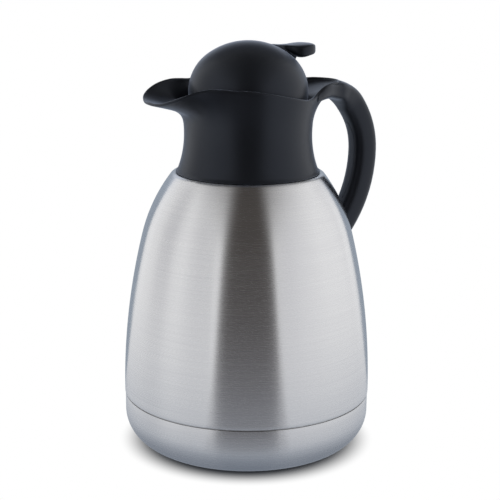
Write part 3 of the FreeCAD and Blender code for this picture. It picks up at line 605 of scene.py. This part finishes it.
def make_liner():
    """The flask inside the shell, from its bottom's weld to the lip that closes both walls."""
    inset = steel_wall + vacuum_gap
    turn = math.degrees(belly_turn)
    lean = Vector((math.cos(belly_turn), math.sin(belly_turn)))
    belly_centre = Vector((body_radius - belly_sweep, belly_start - vacuum_gap))
    lines = []
    for wall in (0, steel_wall):
        fillet = liner_fillet + wall
        belly = belly_sweep - inset - wall
        joint = belly_centre + lean * belly
        fillet_centre = Vector((liner_neck + steel_wall - wall + fillet, liner_fillet_height))
        across = fillet_centre - joint
        shoulder = (across.length_squared - fillet ** 2) / (2 * (fillet - across.dot(lean)))
        shoulder_centre = joint - lean * shoulder
        angle = math.degrees(math.atan2(*(fillet_centre - shoulder_centre).yx))
        start = math.degrees(math.asin((liner_weld - belly_centre.y) / belly))
        side = arc(belly_centre, belly, start, turn, 16)
        side += arc(shoulder_centre, shoulder, turn, angle, 16)[1:]
        lines.append(side + arc(fillet_centre, fillet, 180 + angle, 180, 8)[1:])
    lip_top = neck_top + steel_wall
    neck_lip = [(liner_neck + steel_wall, neck_top), (neck_radius, neck_top), (neck_radius, lip_top - neck_edge),
                (neck_radius - neck_edge, lip_top), (liner_neck + neck_edge, lip_top),
                (liner_neck, lip_top - neck_edge)]
    piece("flask_liner", turned(lines[0] + neck_lip + lines[1][::-1], liner_segments), "carafe", "bare_steel",
          "inner_liner", "liner_shoulder")


def make_base():
    """The base cup below the seam, and the ribbed pad in its recess."""
    top = seam_height - seam_gap / 2
    recess = pad_radius + pad_play
    corner = (base_radius - base_corner, base_lift + base_corner)
    outline = [(recess, base_lift + seam_round), (recess + seam_round, base_lift)]
    outline += arc(corner, base_corner, 270, 360, 24)
    outline += arc((base_radius - seam_round, top - seam_round), seam_round, 0, 90, 3)
    outline += [(base_radius - base_wall, top)]
    outline += arc(corner, base_corner - base_wall, 360, 270, 16)
    outline += [(recess + base_wall, base_lift + base_wall), (recess + base_wall, pad_top + base_wall),
                (0, pad_top + base_wall), (0, pad_top), (recess, pad_top)]
    piece("brushed_base_cup", turned(outline, body_segments), "carafe", "brushed_steel", "base_cup")

    ribs = [(0, pad_top), (0, pad_groove)]
    rib_root = rib_half_width + pad_edge
    for middle in rib_middles:
        ribs += [(middle - rib_root, pad_groove), (middle - rib_half_width, 0.0),
                 (middle + rib_half_width, 0.0), (middle + rib_root, pad_groove)]
    ribs += [(pad_rim, pad_groove), (pad_rim + pad_edge, 0.0), (pad_radius - pad_edge, 0.0),
             (pad_radius, pad_edge), (pad_radius, pad_top)]
    piece("ribbed_base_pad", turned(ribs, pad_segments), "carafe", "pad_rubber", "base_pad")


# Collar
def round_radius(height):
    """Radius of the collar's round part at a height."""
    if height < waist_height:
        return waist_radius + lower_sweep - math.sqrt(lower_sweep ** 2 - (waist_height - height) ** 2)
    flare_start = waist_height + upper_sweep * math.sin(math.atan(flare_slope))
    level = min(height, flare_start) - waist_height
    radius = waist_radius + upper_sweep - math.sqrt(upper_sweep ** 2 - level ** 2)
    return radius + flare_slope * max(height - flare_start, 0)


def pulled(reach, full_reach):
    """How far the rim is pulled out: 0 at the plain rim's reach and 1 at the full reach."""
    return min(max((reach - plain_reach) / (full_reach - plain_reach), 0), 1)


def shaped(plain, at_spout, at_tail, spout, tail):
    """The plain rim's value, drawn towards those at the spout and at the tail by their shares."""
    return mix(mix(plain, at_spout, spout), at_tail, tail)


def collar_column(direction):
    """Outline of the collar in the upright plane at a direction from the handle: outside, lip and inside."""
    reach, rise = between(rim_line, direction)
    spout = pulled(reach, spout_reach) if direction > 90 else 0
    tail = pulled(reach, tail_reach) if direction < 90 else 0
    lean = math.radians(rim_lean + (spout_lean - rim_lean) * spout - rim_lean * tail)
    along = Vector((math.sin(lean), math.cos(lean)))
    outward = Vector((math.cos(lean), -math.sin(lean)))
    wall = rim_wall + (lip_wall - rim_wall) * max(spout, tail)
    lip = Vector((reach, collar_foot + rise + wall * outward.y - wall / 2 * along.y))
    lip.x -= spout * wall / 2 * (along.x - outward.x)
    bend_at = bend_height - spout_drop * spout
    bend = Vector((round_radius(bend_at), bend_at))
    leave = (lip.y - bend.y) / 3
    first = bend + bend_climb * shaped(leave, *bend_runs, spout, tail)
    second = lip - along * shaped(leave, *lip_runs, spout ** spout_ease, tail) - Vector((tail_tuck, 0.0)) * tail
    outside = bezier(bend, first, second, lip, outside_steps)
    edge = []
    for step in range(1, lip_steps):
        turn = math.pi * step / lip_steps
        edge.append(lip - outward * wall / 2 + outward * wall / 2 * math.cos(turn)
                    + along * wall / 2 * math.sin(turn))
    inner = lip - outward * wall
    deep = min(1.0, spout_deepening * spout)
    mouth = Vector((mouth_radius, shaped(lip.y - plain_depth, spout_floor, dish_height, deep, tail)))
    third = inner - along * shaped(*inner_lip_runs, spout, tail) + tail_edge * tail
    fourth = mouth + Vector((shaped(*mouth_runs_out, spout, tail), shaped(*mouth_runs_up, spout, tail)))
    inside = [inner] + bezier(inner, third, fourth, mouth, inside_steps)
    return outside + edge + inside


# The round part from the bore under the foot and up the waist, and the seat of the threaded ring inside.
foot_inside = [(collar_bore, recess_top), (recess_radius, recess_top), (recess_radius, collar_foot),
               (foot_radius - foot_edge, collar_foot)]
foot_outside = [(foot_radius, collar_foot + foot_edge),
                (foot_radius - foot_bead_inset, collar_foot + foot_bead_height)]
for row in range(waist_rows):
    row_height = collar_foot + waist_start + row * waist_step
    foot_outside.append((round_radius(row_height), row_height))
throat_line = [(mouth_radius, ring_top), (ring_room, ring_top), (ring_room, ring_seat), (collar_bore, ring_seat)]


def collar_outline(direction):
    """The collar's whole outline at a direction from the handle."""
    return foot_inside + foot_outside + [tuple(p) for p in collar_column(direction)] + throat_line


def collar_room(direction):
    """The collar's outside grown by the handle's gap and closed over the top, as room the handle leaves."""
    outside = foot_outside + [tuple(p) for p in collar_column(direction)[:outside_steps]]
    grown = [(radius + handle_gap, height) for radius, height in outside]
    return ([(0.0, collar_room_bottom), (grown[0][0], collar_room_bottom)] + grown
            + [(grown[-1][0], collar_room_top), (0.0, collar_room_top)])


def thread_ridges(root, crest, start):
    """A coarse thread with several starts, each one strip that climbs by the lead in a turn, as one shape."""
    side = 1 if crest > root else -1
    half = thread_width / 2
    edge = crest - crest_round * side
    outline = [(root, -half), (edge, -half * crest_under), (crest, -half * crest_over), (crest, half * crest_over),
               (edge, half * crest_under), (root, half)]
    ridges = bmesh.new()
    for count in range(thread_starts):
        bm = bmesh.new()
        face = bm.faces.new([bm.verts.new((x, 0, thread_bottom + half + z)) for x, z in outline])
        bmesh.ops.spin(bm, geom=[face], cent=(0, 0, 0), axis=(0, 0, 1), angle=math.radians(thread_turn),
                       steps=thread_steps, use_merge=False, use_duplicate=False,
                       dvec=(0, 0, thread_lead * thread_turn / 360 / thread_steps))
        bmesh.ops.rotate(bm, cent=(0, 0, 0), verts=bm.verts,
                         matrix=Matrix.Rotation(math.radians(start + 360 / thread_starts * count), 3, "Z"))
        bmesh.ops.recalc_face_normals(bm, faces=bm.faces)
        join(ridges, bm)
    return ridges


def make_collar():
    """The pouring collar, and the notched ring inside it with the thread for the stopper."""
    piece("pouring_collar", drawn_round(collar_outline, collar_segments), "carafe", "black_plastic", "spout_collar",
          sharp=50.0)

    nut = turned([(ring_thread_root, ring_bottom), (ring_radius, ring_bottom), (ring_radius, ring_top - ring_edge),
                  (ring_radius - ring_edge, ring_top), (ring_thread_root + ring_bore_edge, ring_top),
                  (ring_thread_root, ring_top - ring_bore_edge)], ring_segments)
    notches = []
    for count in range(notch_count):
        notch = box(*notch_block)
        turn = full_turn * (count + 0.5) / notch_count
        bmesh.ops.rotate(notch, cent=(0, 0, 0), matrix=Matrix.Rotation(turn, 3, "Z"), verts=notch.verts)
        notches.append(notch)
    nut = carved(nut, *notches)
    join(nut, thread_ridges(ring_thread_root + thread_sink, ring_thread_top, ring_thread_start))
    piece("threaded_neck_ring", nut, "carafe", "inner_plastic", "neck_ring")


# Handle
def handle_place(heading):
    """Point on the handle's middle line at a heading below level, and the outward direction there."""
    def on(centre, radius, angle):
        turn = math.radians(angle)
        return Vector((centre.x + radius * math.sin(turn), 0, centre.z + radius * math.cos(turn)))
    centre, radius = Vector((bend_start, 0, handle_height - bend_sweep)), bend_sweep
    for limit, following in ((bend_end, back_sweep), (back_end, lower_handle_sweep)):
        if heading > limit:
            centre, radius = on(on(centre, radius, limit), -following, limit), following
    turn = math.radians(heading)
    return on(centre, radius, heading), Vector((math.sin(turn), 0, math.cos(turn)))


def make_handle():
    """The loop handle, cut to leave room for collar and body, and the soft strip inside its grip."""
    shape = squircle(handle_points, handle_power)

    def ring(place, outward, width, thickness, shift):
        return [place + Vector((0, y * width / 2, 0)) + outward * (n * thickness / 2 + shift) for y, n in shape]

    rings = [ring(Vector((reach, 0, handle_height)), upwards, *size) for reach, *size in saddle_sizes]
    for step in range(handle_steps + 1):
        heading = foot_end * step / handle_steps
        rings.append(ring(*handle_place(heading), *between(handle_sizes, heading)))
    side = [(r + handle_gap, z) for r, z in shell_line(0, body_room_bottom) if z > body_room_side]
    body_room = turned([(0, body_room_bottom), (body_radius, body_room_bottom)] + side + [(0, neck_top)],
                       body_segments)
    grip = carved(loft(rings), drawn_round(collar_room, collar_segments), body_room)
    piece("loop_handle", grip, "carafe", "black_plastic", "handle_grip")

    strip = []
    for step in range(inlay_steps + 1):
        heading = mix(inlay_start, inlay_end, step / inlay_steps)
        place, outward = handle_place(heading)
        ease = min(1.0, inlay_taper * min(step, inlay_steps - step) / inlay_steps + inlay_end_share) ** 0.5
        thickness = between(handle_sizes, heading)[1]
        inner = place - outward * (thickness / 2 - inlay_sink)
        strip.append([inner + Vector((0, y * inlay_half_width * ease, 0)) + outward * (n * inlay_half_depth)
                      for y, n in squircle(inlay_points, inlay_power)])
    piece("grip_inlay_strip", loft(strip), "carafe", "grip_inlay", "handle_inlay")


# Stopper
def make_stopper():
    """The dome, whose side and crown are arcs that meet smoothly, with the lever's slot, and the plug's thread."""
    side_reach = dome_radius - dome_side_sweep
    crown_sweep = (side_reach ** 2 + dome_rise ** 2 - dome_side_sweep ** 2) / (2 * (dome_rise - dome_side_sweep))
    drop = crown_sweep - dome_rise
    turn = math.degrees(math.atan2(drop, side_reach))

    def dome_line(inset):
        line = arc((side_reach, dome_equator), dome_side_sweep - inset, 0, turn, 20)
        line += arc((0, dome_equator - drop), crown_sweep - inset, turn, 90, 20)[1:]
        return line[:-1] + [(0.0, line[-1][1])]

    skirt = [(dome_radius - dome_wall, dome_skirt_bottom), (dome_radius - dome_skirt_edge, dome_skirt_bottom),
             (dome_radius, dome_skirt_bottom + dome_skirt_edge)]
    dome = turned(skirt + dome_line(0) + dome_line(dome_wall)[::-1], dome_segments)
    piece("stopper_dome_shell", carved(dome, box(*slot_block)), "stopper", "black_plastic", "stopper_dome")

    threads = thread_ridges(plug_thread_root - thread_sink, plug_thread_top, plug_thread_start)
    piece("plug_thread", threads, "stopper", "inner_plastic")


def make_spring():
    """The coil spring above the valve, drawn as one fixed coil; the real spring shortens towards its seat as the
    valve rises.
    """
    low, high = spring_bottom + spring_wire, spring_top - spring_wire
    climb = (high - low) / spring_turns / full_turn
    steps = spring_steps * spring_turns
    rings = []
    for step in range(steps + 1):
        share = step / steps
        turn = full_turn * spring_turns * share
        outward = Vector((math.cos(turn), math.sin(turn), 0))
        along = Vector((-spring_radius * outward.y, spring_radius * outward.x, climb)).normalized()
        upward = outward.cross(along)
        middle = outward * spring_radius + Vector((0, 0, mix(low, high, share)))
        rings.append([middle + (outward * y + upward * n) * spring_wire for y, n in squircle(spring_points, 2.0)])
    spring = piece("coil_spring", loft(rings), "stopper", "small_steel", "return_spring")
    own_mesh(spring)


def upright_plate(points, half_width):
    """An outline of (x, height) points made a plate, with its edges broken."""
    bm = bmesh.new()
    face = bm.faces.new([bm.verts.new((x, -half_width, z)) for x, z in points])
    made = bmesh.ops.extrude_face_region(bm, geom=[face])["geom"]
    bmesh.ops.translate(bm, vec=(0, 2 * half_width, 0),
                        verts=[v for v in made if isinstance(v, bmesh.types.BMVert)])
    bmesh.ops.recalc_face_normals(bm, faces=bm.faces)
    bmesh.ops.bevel(bm, geom=bm.edges[:], offset=lever_edge, offset_type="OFFSET", affect="EDGES", segments=2,
                    profile=0.5, material=-1)
    return bm


def make_lever():
    """The thumb lever: paddle, web, arm, and the fork round the valve's stem."""
    # Flat above with a crisp edge, upright sides that draw in a little upwards, and softer edges below.
    upper = squircle(paddle_points, paddle_top_power)
    under = squircle(paddle_points, paddle_under_power)
    half_way = paddle_points // 2 + 1
    outline = [(y * (1 - paddle_draft - paddle_draft * n), n - paddle_crown * y ** 2 * max(n, 0))
               for y, n in upper[:half_way] + under[half_way:]]
    rings = []
    for step in range(paddle_steps + 1):
        x = mix(paddle_sizes[0][0], paddle_sizes[-1][0], step / paddle_steps)
        half, top, low = between(paddle_sizes, x)
        middle, deep = (top + low) / 2, (top - low) / 2
        rings.append([Vector((x, y * half, middle + n * deep)) for y, n in outline])
    lever = loft(rings)
    for plate in (lever_web, lever_arm):
        join(lever, upright_plate(plate, lever_half_width))
    join(lever, carved(box(*fork_block), box(*fork_opening)))
    piece("thumb_lever_paddle", lever, "lever", "black_plastic", "thumb_lever")


for node, obj in frame["nodes"].items():
    slot = next(row["material_slot"] for row in frame["record"]["subparts"] if row["node"] == node)
    for holder in obj.material_slots:
        holder.material = finishes[slot]

make_shell()
make_liner()
make_base()
make_collar()
make_handle()
make_stopper()
make_spring()
make_lever()

# Studio, in metres: white sweep, a tall soft light on each side, a dark arch over the camera, a grey card behind.
camera_turn = math.radians(-25.0)
towards = Vector((-math.sin(camera_turn), math.cos(camera_turn), 0))
rightwards = Vector((math.cos(camera_turn), math.sin(camera_turn), 0))
arch_half_width = 1.1
arch_radius = 1.0
arch_shift = 0.02
arch_sweep = 112.0
arch_lift = 0.01
dark_half_width = 0.525
# Heights on the arch, with the half width of its dark middle and the half width where it is white.
dark_rows = ((0.0, 0.515), (0.14, 0.49), (0.5, 0.31), (0.94, 0.1))
white_rows = ((0.0, 0.535), (0.14, 0.52), (0.5, 0.45), (0.94, 1.1))
dark_tone = "#4d4946"
floor_card_lift = 0.002
front_floor_start = 0.1
back_floor_start = 0.085
back_distance = 0.22
back_spread = 1.15
back_width = 0.5
back_height = 0.6
grey_back = "#9da7b3"
pale_back = "#d3dae6"
screen_radius = 1.1
screen_height = 1.6
screen_lift = 0.003
floor_half_width = 6.0
# Reach from the axis over which the camera sees the shadow end, and over which the painted shadow in reflections
# fades to white.
shadow_reach = (0.057, 0.077)
painted_shadow_reach = (0.07, 0.57)
fill_strength = 0.62
light_distance = 0.85
light_width = 1.15
light_height = 1.2
light_radiance = 0.8
light_swing = math.radians(75)
light_middle = 0.55
light_aim = 0.3
sensor_width = 36.0
focal_length = 95.93
camera_distance = 0.7577
camera_height = 0.30356
camera_pitch = math.radians(13.945)
camera_pan = math.radians(0.119)
camera_roll = math.radians(0.409)


def card(name, bm, made, tree, glow):
    """A card with a glowing material that only reflections see."""
    add(tree, "ShaderNodeOutputMaterial", {"Surface": glow})
    mesh = as_mesh(bm, name)
    mesh.materials.append(made)
    obj = put(name, mesh)
    for ray in ("camera", "diffuse", "transmission", "volume_scatter", "shadow"):
        setattr(obj, "visible_" + ray, False)


def glow_by(tree, value, low, high, stops):
    """A glow whose colour follows a value through (share of the way from low to high, hex colour) stops."""
    share = add(tree, "ShaderNodeMapRange", {"Value": value, "From Min": low, "From Max": high})
    row = add(tree, "ShaderNodeValToRGB", {"Fac": share.outputs["Result"]})
    glow = add(tree, "ShaderNodeEmission", {"Color": ramp(row, stops), "Strength": 1.0})
    return glow.outputs[0]


def by_height(tree, height, rows):
    """A value that follows the height through rows of (height, value)."""
    total = rows[0][1]
    for low, high in zip(rows, rows[1:]):
        step = add(tree, "ShaderNodeMapRange",
                   {"Value": height, "From Min": low[0], "From Max": high[0],
                    "To Min": 0.0, "To Max": high[1] - low[1]})
        total = add(tree, "ShaderNodeMath", {0: step.outputs["Result"], 1: total}, operation="ADD").outputs[0]
    return total


def make_arch():
    """The dark arch from the floor behind the camera over the top, with sides that fade to white."""
    bm = bmesh.new()
    bm.edges.new([bm.verts.new(-towards * arch_radius + rightwards * (side * arch_half_width + arch_shift)
                               + upwards * arch_lift) for side in (-1, 1)])
    spin_edges(bm, rightwards, -math.radians(arch_sweep), 24, False)
    shade, tree, place = material("dark_studio")
    across = add(tree, "ShaderNodeVectorMath", {0: place, 1: rightwards}, operation="DOT_PRODUCT")
    middle = add(tree, "ShaderNodeMath", {0: across.outputs["Value"], 1: arch_shift}, operation="SUBTRACT")
    aside = add(tree, "ShaderNodeMath", {0: middle.outputs[0]}, operation="ABSOLUTE")
    height = add(tree, "ShaderNodeSeparateXYZ", {"Vector": place}).outputs["Z"]
    inner_edge = by_height(tree, height, dark_rows)
    outer_edge = by_height(tree, height, white_rows)
    glow = glow_by(tree, aside.outputs[0], inner_edge, outer_edge, [(0.0, dark_tone), (1.0, "#ffffff")])
    card("dark_arch", bm, shade, tree, glow)


def floor_card(name, way, spread, near, far, stops):
    """A card on the floor that widens outwards, with colours at shares of the way from near to far."""
    bm = bmesh.new()
    bmesh.ops.create_grid(bm, x_segments=1, y_segments=1, size=1.0)
    for vert in bm.verts:
        reach = near if vert.co.y > 0 else far
        across = (vert.co.x * spread + arch_shift) * reach
        vert.co = rightwards * across + way * reach + upwards * floor_card_lift
    bmesh.ops.recalc_face_normals(bm, faces=bm.faces)
    shade, tree, place = material(name)
    reach = add(tree, "ShaderNodeVectorMath", {0: place}, operation="LENGTH")
    glow = glow_by(tree, reach.outputs["Value"], near, far, stops)
    card(name, bm, shade, tree, glow)


def make_back_card():
    """The card behind: grey at the body's height, pale above that, and dark at the top."""
    bm = bmesh.new()
    bmesh.ops.create_grid(bm, x_segments=1, y_segments=1, size=0.5)
    bmesh.ops.scale(bm, vec=(back_width, back_height, 1.0), verts=bm.verts)
    for angle, axis in ((math.pi / 2, "X"), (camera_turn, "Z")):
        bmesh.ops.rotate(bm, cent=(0, 0, 0), verts=bm.verts, matrix=Matrix.Rotation(angle, 3, axis))
    bmesh.ops.translate(bm, vec=towards * back_distance + upwards * (back_height / 2), verts=bm.verts)
    shade, tree, place = material("grey_card")
    level = add(tree, "ShaderNodeSeparateXYZ", {"Vector": place}).outputs["Z"]
    glow = glow_by(tree, level, 0.0, back_height,
                   [(0.0, grey_back), (0.33, grey_back), (0.4, pale_back), (0.52, pale_back), (0.62, "#303236"),
                    (1.0, "#202124")])
    card("grey_back_card", bm, shade, tree, glow)


def side_screen(name, side, stops):
    """A curved screen, brightness given at swings in degrees from the camera's side."""
    first, last = math.radians(stops[0][0]), math.radians(stops[-1][0])
    bm = bmesh.new()
    spot = (rightwards * side * math.sin(first) - towards * math.cos(first)) * screen_radius
    bm.edges.new([bm.verts.new(spot + upwards * height) for height in (screen_lift, screen_height)])
    spin_edges(bm, (0, 0, 1), side * (last - first), 48, False)
    shade, tree, place = material(name)
    facing = add(tree, "ShaderNodeVectorRotate", {"Vector": place, "Angle": math.pi - camera_turn},
                 rotation_type="Z_AXIS")
    parts = add(tree, "ShaderNodeSeparateXYZ", {"Vector": facing.outputs["Vector"]})
    across = add(tree, "ShaderNodeMath", {0: parts.outputs["X"], 1: -side}, operation="MULTIPLY")
    swing = add(tree, "ShaderNodeMath", {0: across.outputs[0], 1: parts.outputs["Y"]}, operation="ARCTAN2")
    span = stops[-1][0] - stops[0][0]
    shares = [((degrees - stops[0][0]) / span, colour) for degrees, colour in stops]
    glow = glow_by(tree, swing.outputs[0], first, last, shares)
    card(name, bm, shade, tree, glow)


def make_floor():
    """The white sweep: pure white to the camera but for the shadow close to the carafe, deepened there by painted
    shade.
    """
    bm = bmesh.new()
    bmesh.ops.create_grid(bm, x_segments=1, y_segments=1, size=floor_half_width)
    floor = put("floor", as_mesh(bm, "floor"))
    paper, tree, place = material("paper_white_sweep")
    path = add(tree, "ShaderNodeLightPath")
    reach = add(tree, "ShaderNodeVectorMath", {0: place}, operation="LENGTH").outputs["Value"]
    away = add(tree, "ShaderNodeMapRange", {"Value": reach, "From Min": shadow_reach[0], "From Max": shadow_reach[1]},
               interpolation_type="SMOOTHSTEP")
    seen = add(tree, "ShaderNodeMath", {0: path.outputs["Is Camera Ray"], 1: away.outputs["Result"]},
               operation="MULTIPLY")
    # The camera sees the paper near the carafe as a darker grey than it is, #8c8c8c for #e9e9e9: painted shade over
    # its real shadow.
    painted_shade_paper = add(tree, "ShaderNodeMix",
                 {0: path.outputs["Is Camera Ray"], 6: linear("#e9e9e9"), 7: linear("#8c8c8c")}, data_type="RGBA")
    diffuse = add(tree, "ShaderNodeBsdfDiffuse", {"Color": painted_shade_paper.outputs[2]})
    white = add(tree, "ShaderNodeEmission", {"Color": linear("#ffffff"), "Strength": 1.0})
    sweep = add(tree, "ShaderNodeMixShader", {0: seen.outputs[0], 1: diffuse.outputs[0], 2: white.outputs[0]})
    # Reflections see the paper with a painted shadow: bluish grey close to the carafe and white farther out.
    glow = glow_by(tree, reach, *painted_shadow_reach, [(0.0, "#868e9a"), (0.06, "#b9bfc8"), (0.19, "#d6d9de"),
                                               (0.32, "#dfe1e4"), (0.5, "#ebecee"), (1.0, "#ffffff")])
    sweep = add(tree, "ShaderNodeMixShader", {0: path.outputs["Is Glossy Ray"], 1: sweep.outputs[0], 2: glow})
    add(tree, "ShaderNodeOutputMaterial", {"Surface": sweep.outputs[0]})
    floor.data.materials.append(paper)


def make_world():
    """White all round to the camera and to reflections, and a dimmer fill light otherwise."""
    world = bpy.data.worlds.new("studio")
    scene.world = world
    world.use_nodes = True
    tree = world.node_tree
    tree.nodes.clear()
    path = add(tree, "ShaderNodeLightPath")
    seen = add(tree, "ShaderNodeMath", {0: path.outputs["Is Camera Ray"], 1: path.outputs["Is Glossy Ray"]},
               operation="MAXIMUM")
    white = add(tree, "ShaderNodeBackground", {"Color": linear("#ffffff"), "Strength": 1.0})
    fill = add(tree, "ShaderNodeBackground", {"Color": linear("#f4f6fa"), "Strength": fill_strength})
    sky = add(tree, "ShaderNodeMixShader", {0: seen.outputs[0], 1: fill.outputs[0], 2: white.outputs[0]})
    add(tree, "ShaderNodeOutputWorld", {"Surface": sky.outputs[0]})


def soft_light(side):
    """A tall soft light beside the camera, which neither the camera nor reflections see."""
    lamp = bpy.data.lights.new("soft_light", "AREA")
    lamp.shape = "RECTANGLE"
    lamp.size = light_width
    lamp.size_y = light_height
    lamp.energy = light_radiance * math.pi * light_width * light_height
    holder = put("soft_light", lamp)
    spot = (rightwards * side * math.sin(light_swing) - towards * math.cos(light_swing)) * light_distance
    holder.location = spot + upwards * light_middle
    aim = upwards * light_aim - holder.location
    holder.rotation_euler = aim.to_track_quat("-Z", "Y").to_euler()
    holder.visible_camera = False
    holder.visible_glossy = False


def make_camera():
    """The camera, placed and turned as it was for the photo."""
    lens = bpy.data.cameras.new("camera")
    lens.sensor_width = sensor_width
    lens.lens = focal_length
    camera = put("camera", lens)
    turn = Matrix.Rotation(camera_turn - camera_pan, 4, "Z") @ Matrix.Rotation(math.pi / 2 - camera_pitch, 4, "X")
    spot = -towards * camera_distance + upwards * camera_height
    camera.matrix_world = Matrix.Translation(spot) @ turn @ Matrix.Rotation(camera_roll, 4, "Z")
    scene.camera = camera


make_arch()
# Floor that reflections see in front of the carafe and behind it.
floor_card("dark_front_floor", -towards, dark_half_width, front_floor_start, arch_radius,
           [(0.0, "#a3a7af"), (0.19, "#807f83"), (0.55, dark_tone)])
floor_card("grey_back_floor", towards, back_spread, back_floor_start, back_distance,
           [(0.0, "#8f98a5"), (0.4, grey_back)])
make_back_card()
# A screen on each side, uneven from front to back, which gives the body its soft upright stripes.
side_screen("left_screen", -1, [(33, "#dcdcde"), (50, "#dcdcde"), (60, "#e8e8e9"), (68, "#f8f8f8"), (78, "#f8f8f8"),
                                (89, "#d8d8da"), (100, "#d8d8da"), (112, "#f2f2f2"), (124, "#fafafa")])
side_screen("right_screen", 1, [(30, "#d9d9dc"), (43, "#e1e1e4"), (55, "#ececee"), (68, "#f4f4f5"), (84, "#ffffff"),
                                (110, "#ffffff"), (124, "#f2f2f3")])
make_floor()
make_world()
for side in (-1, 1):
    soft_light(side)
make_camera()
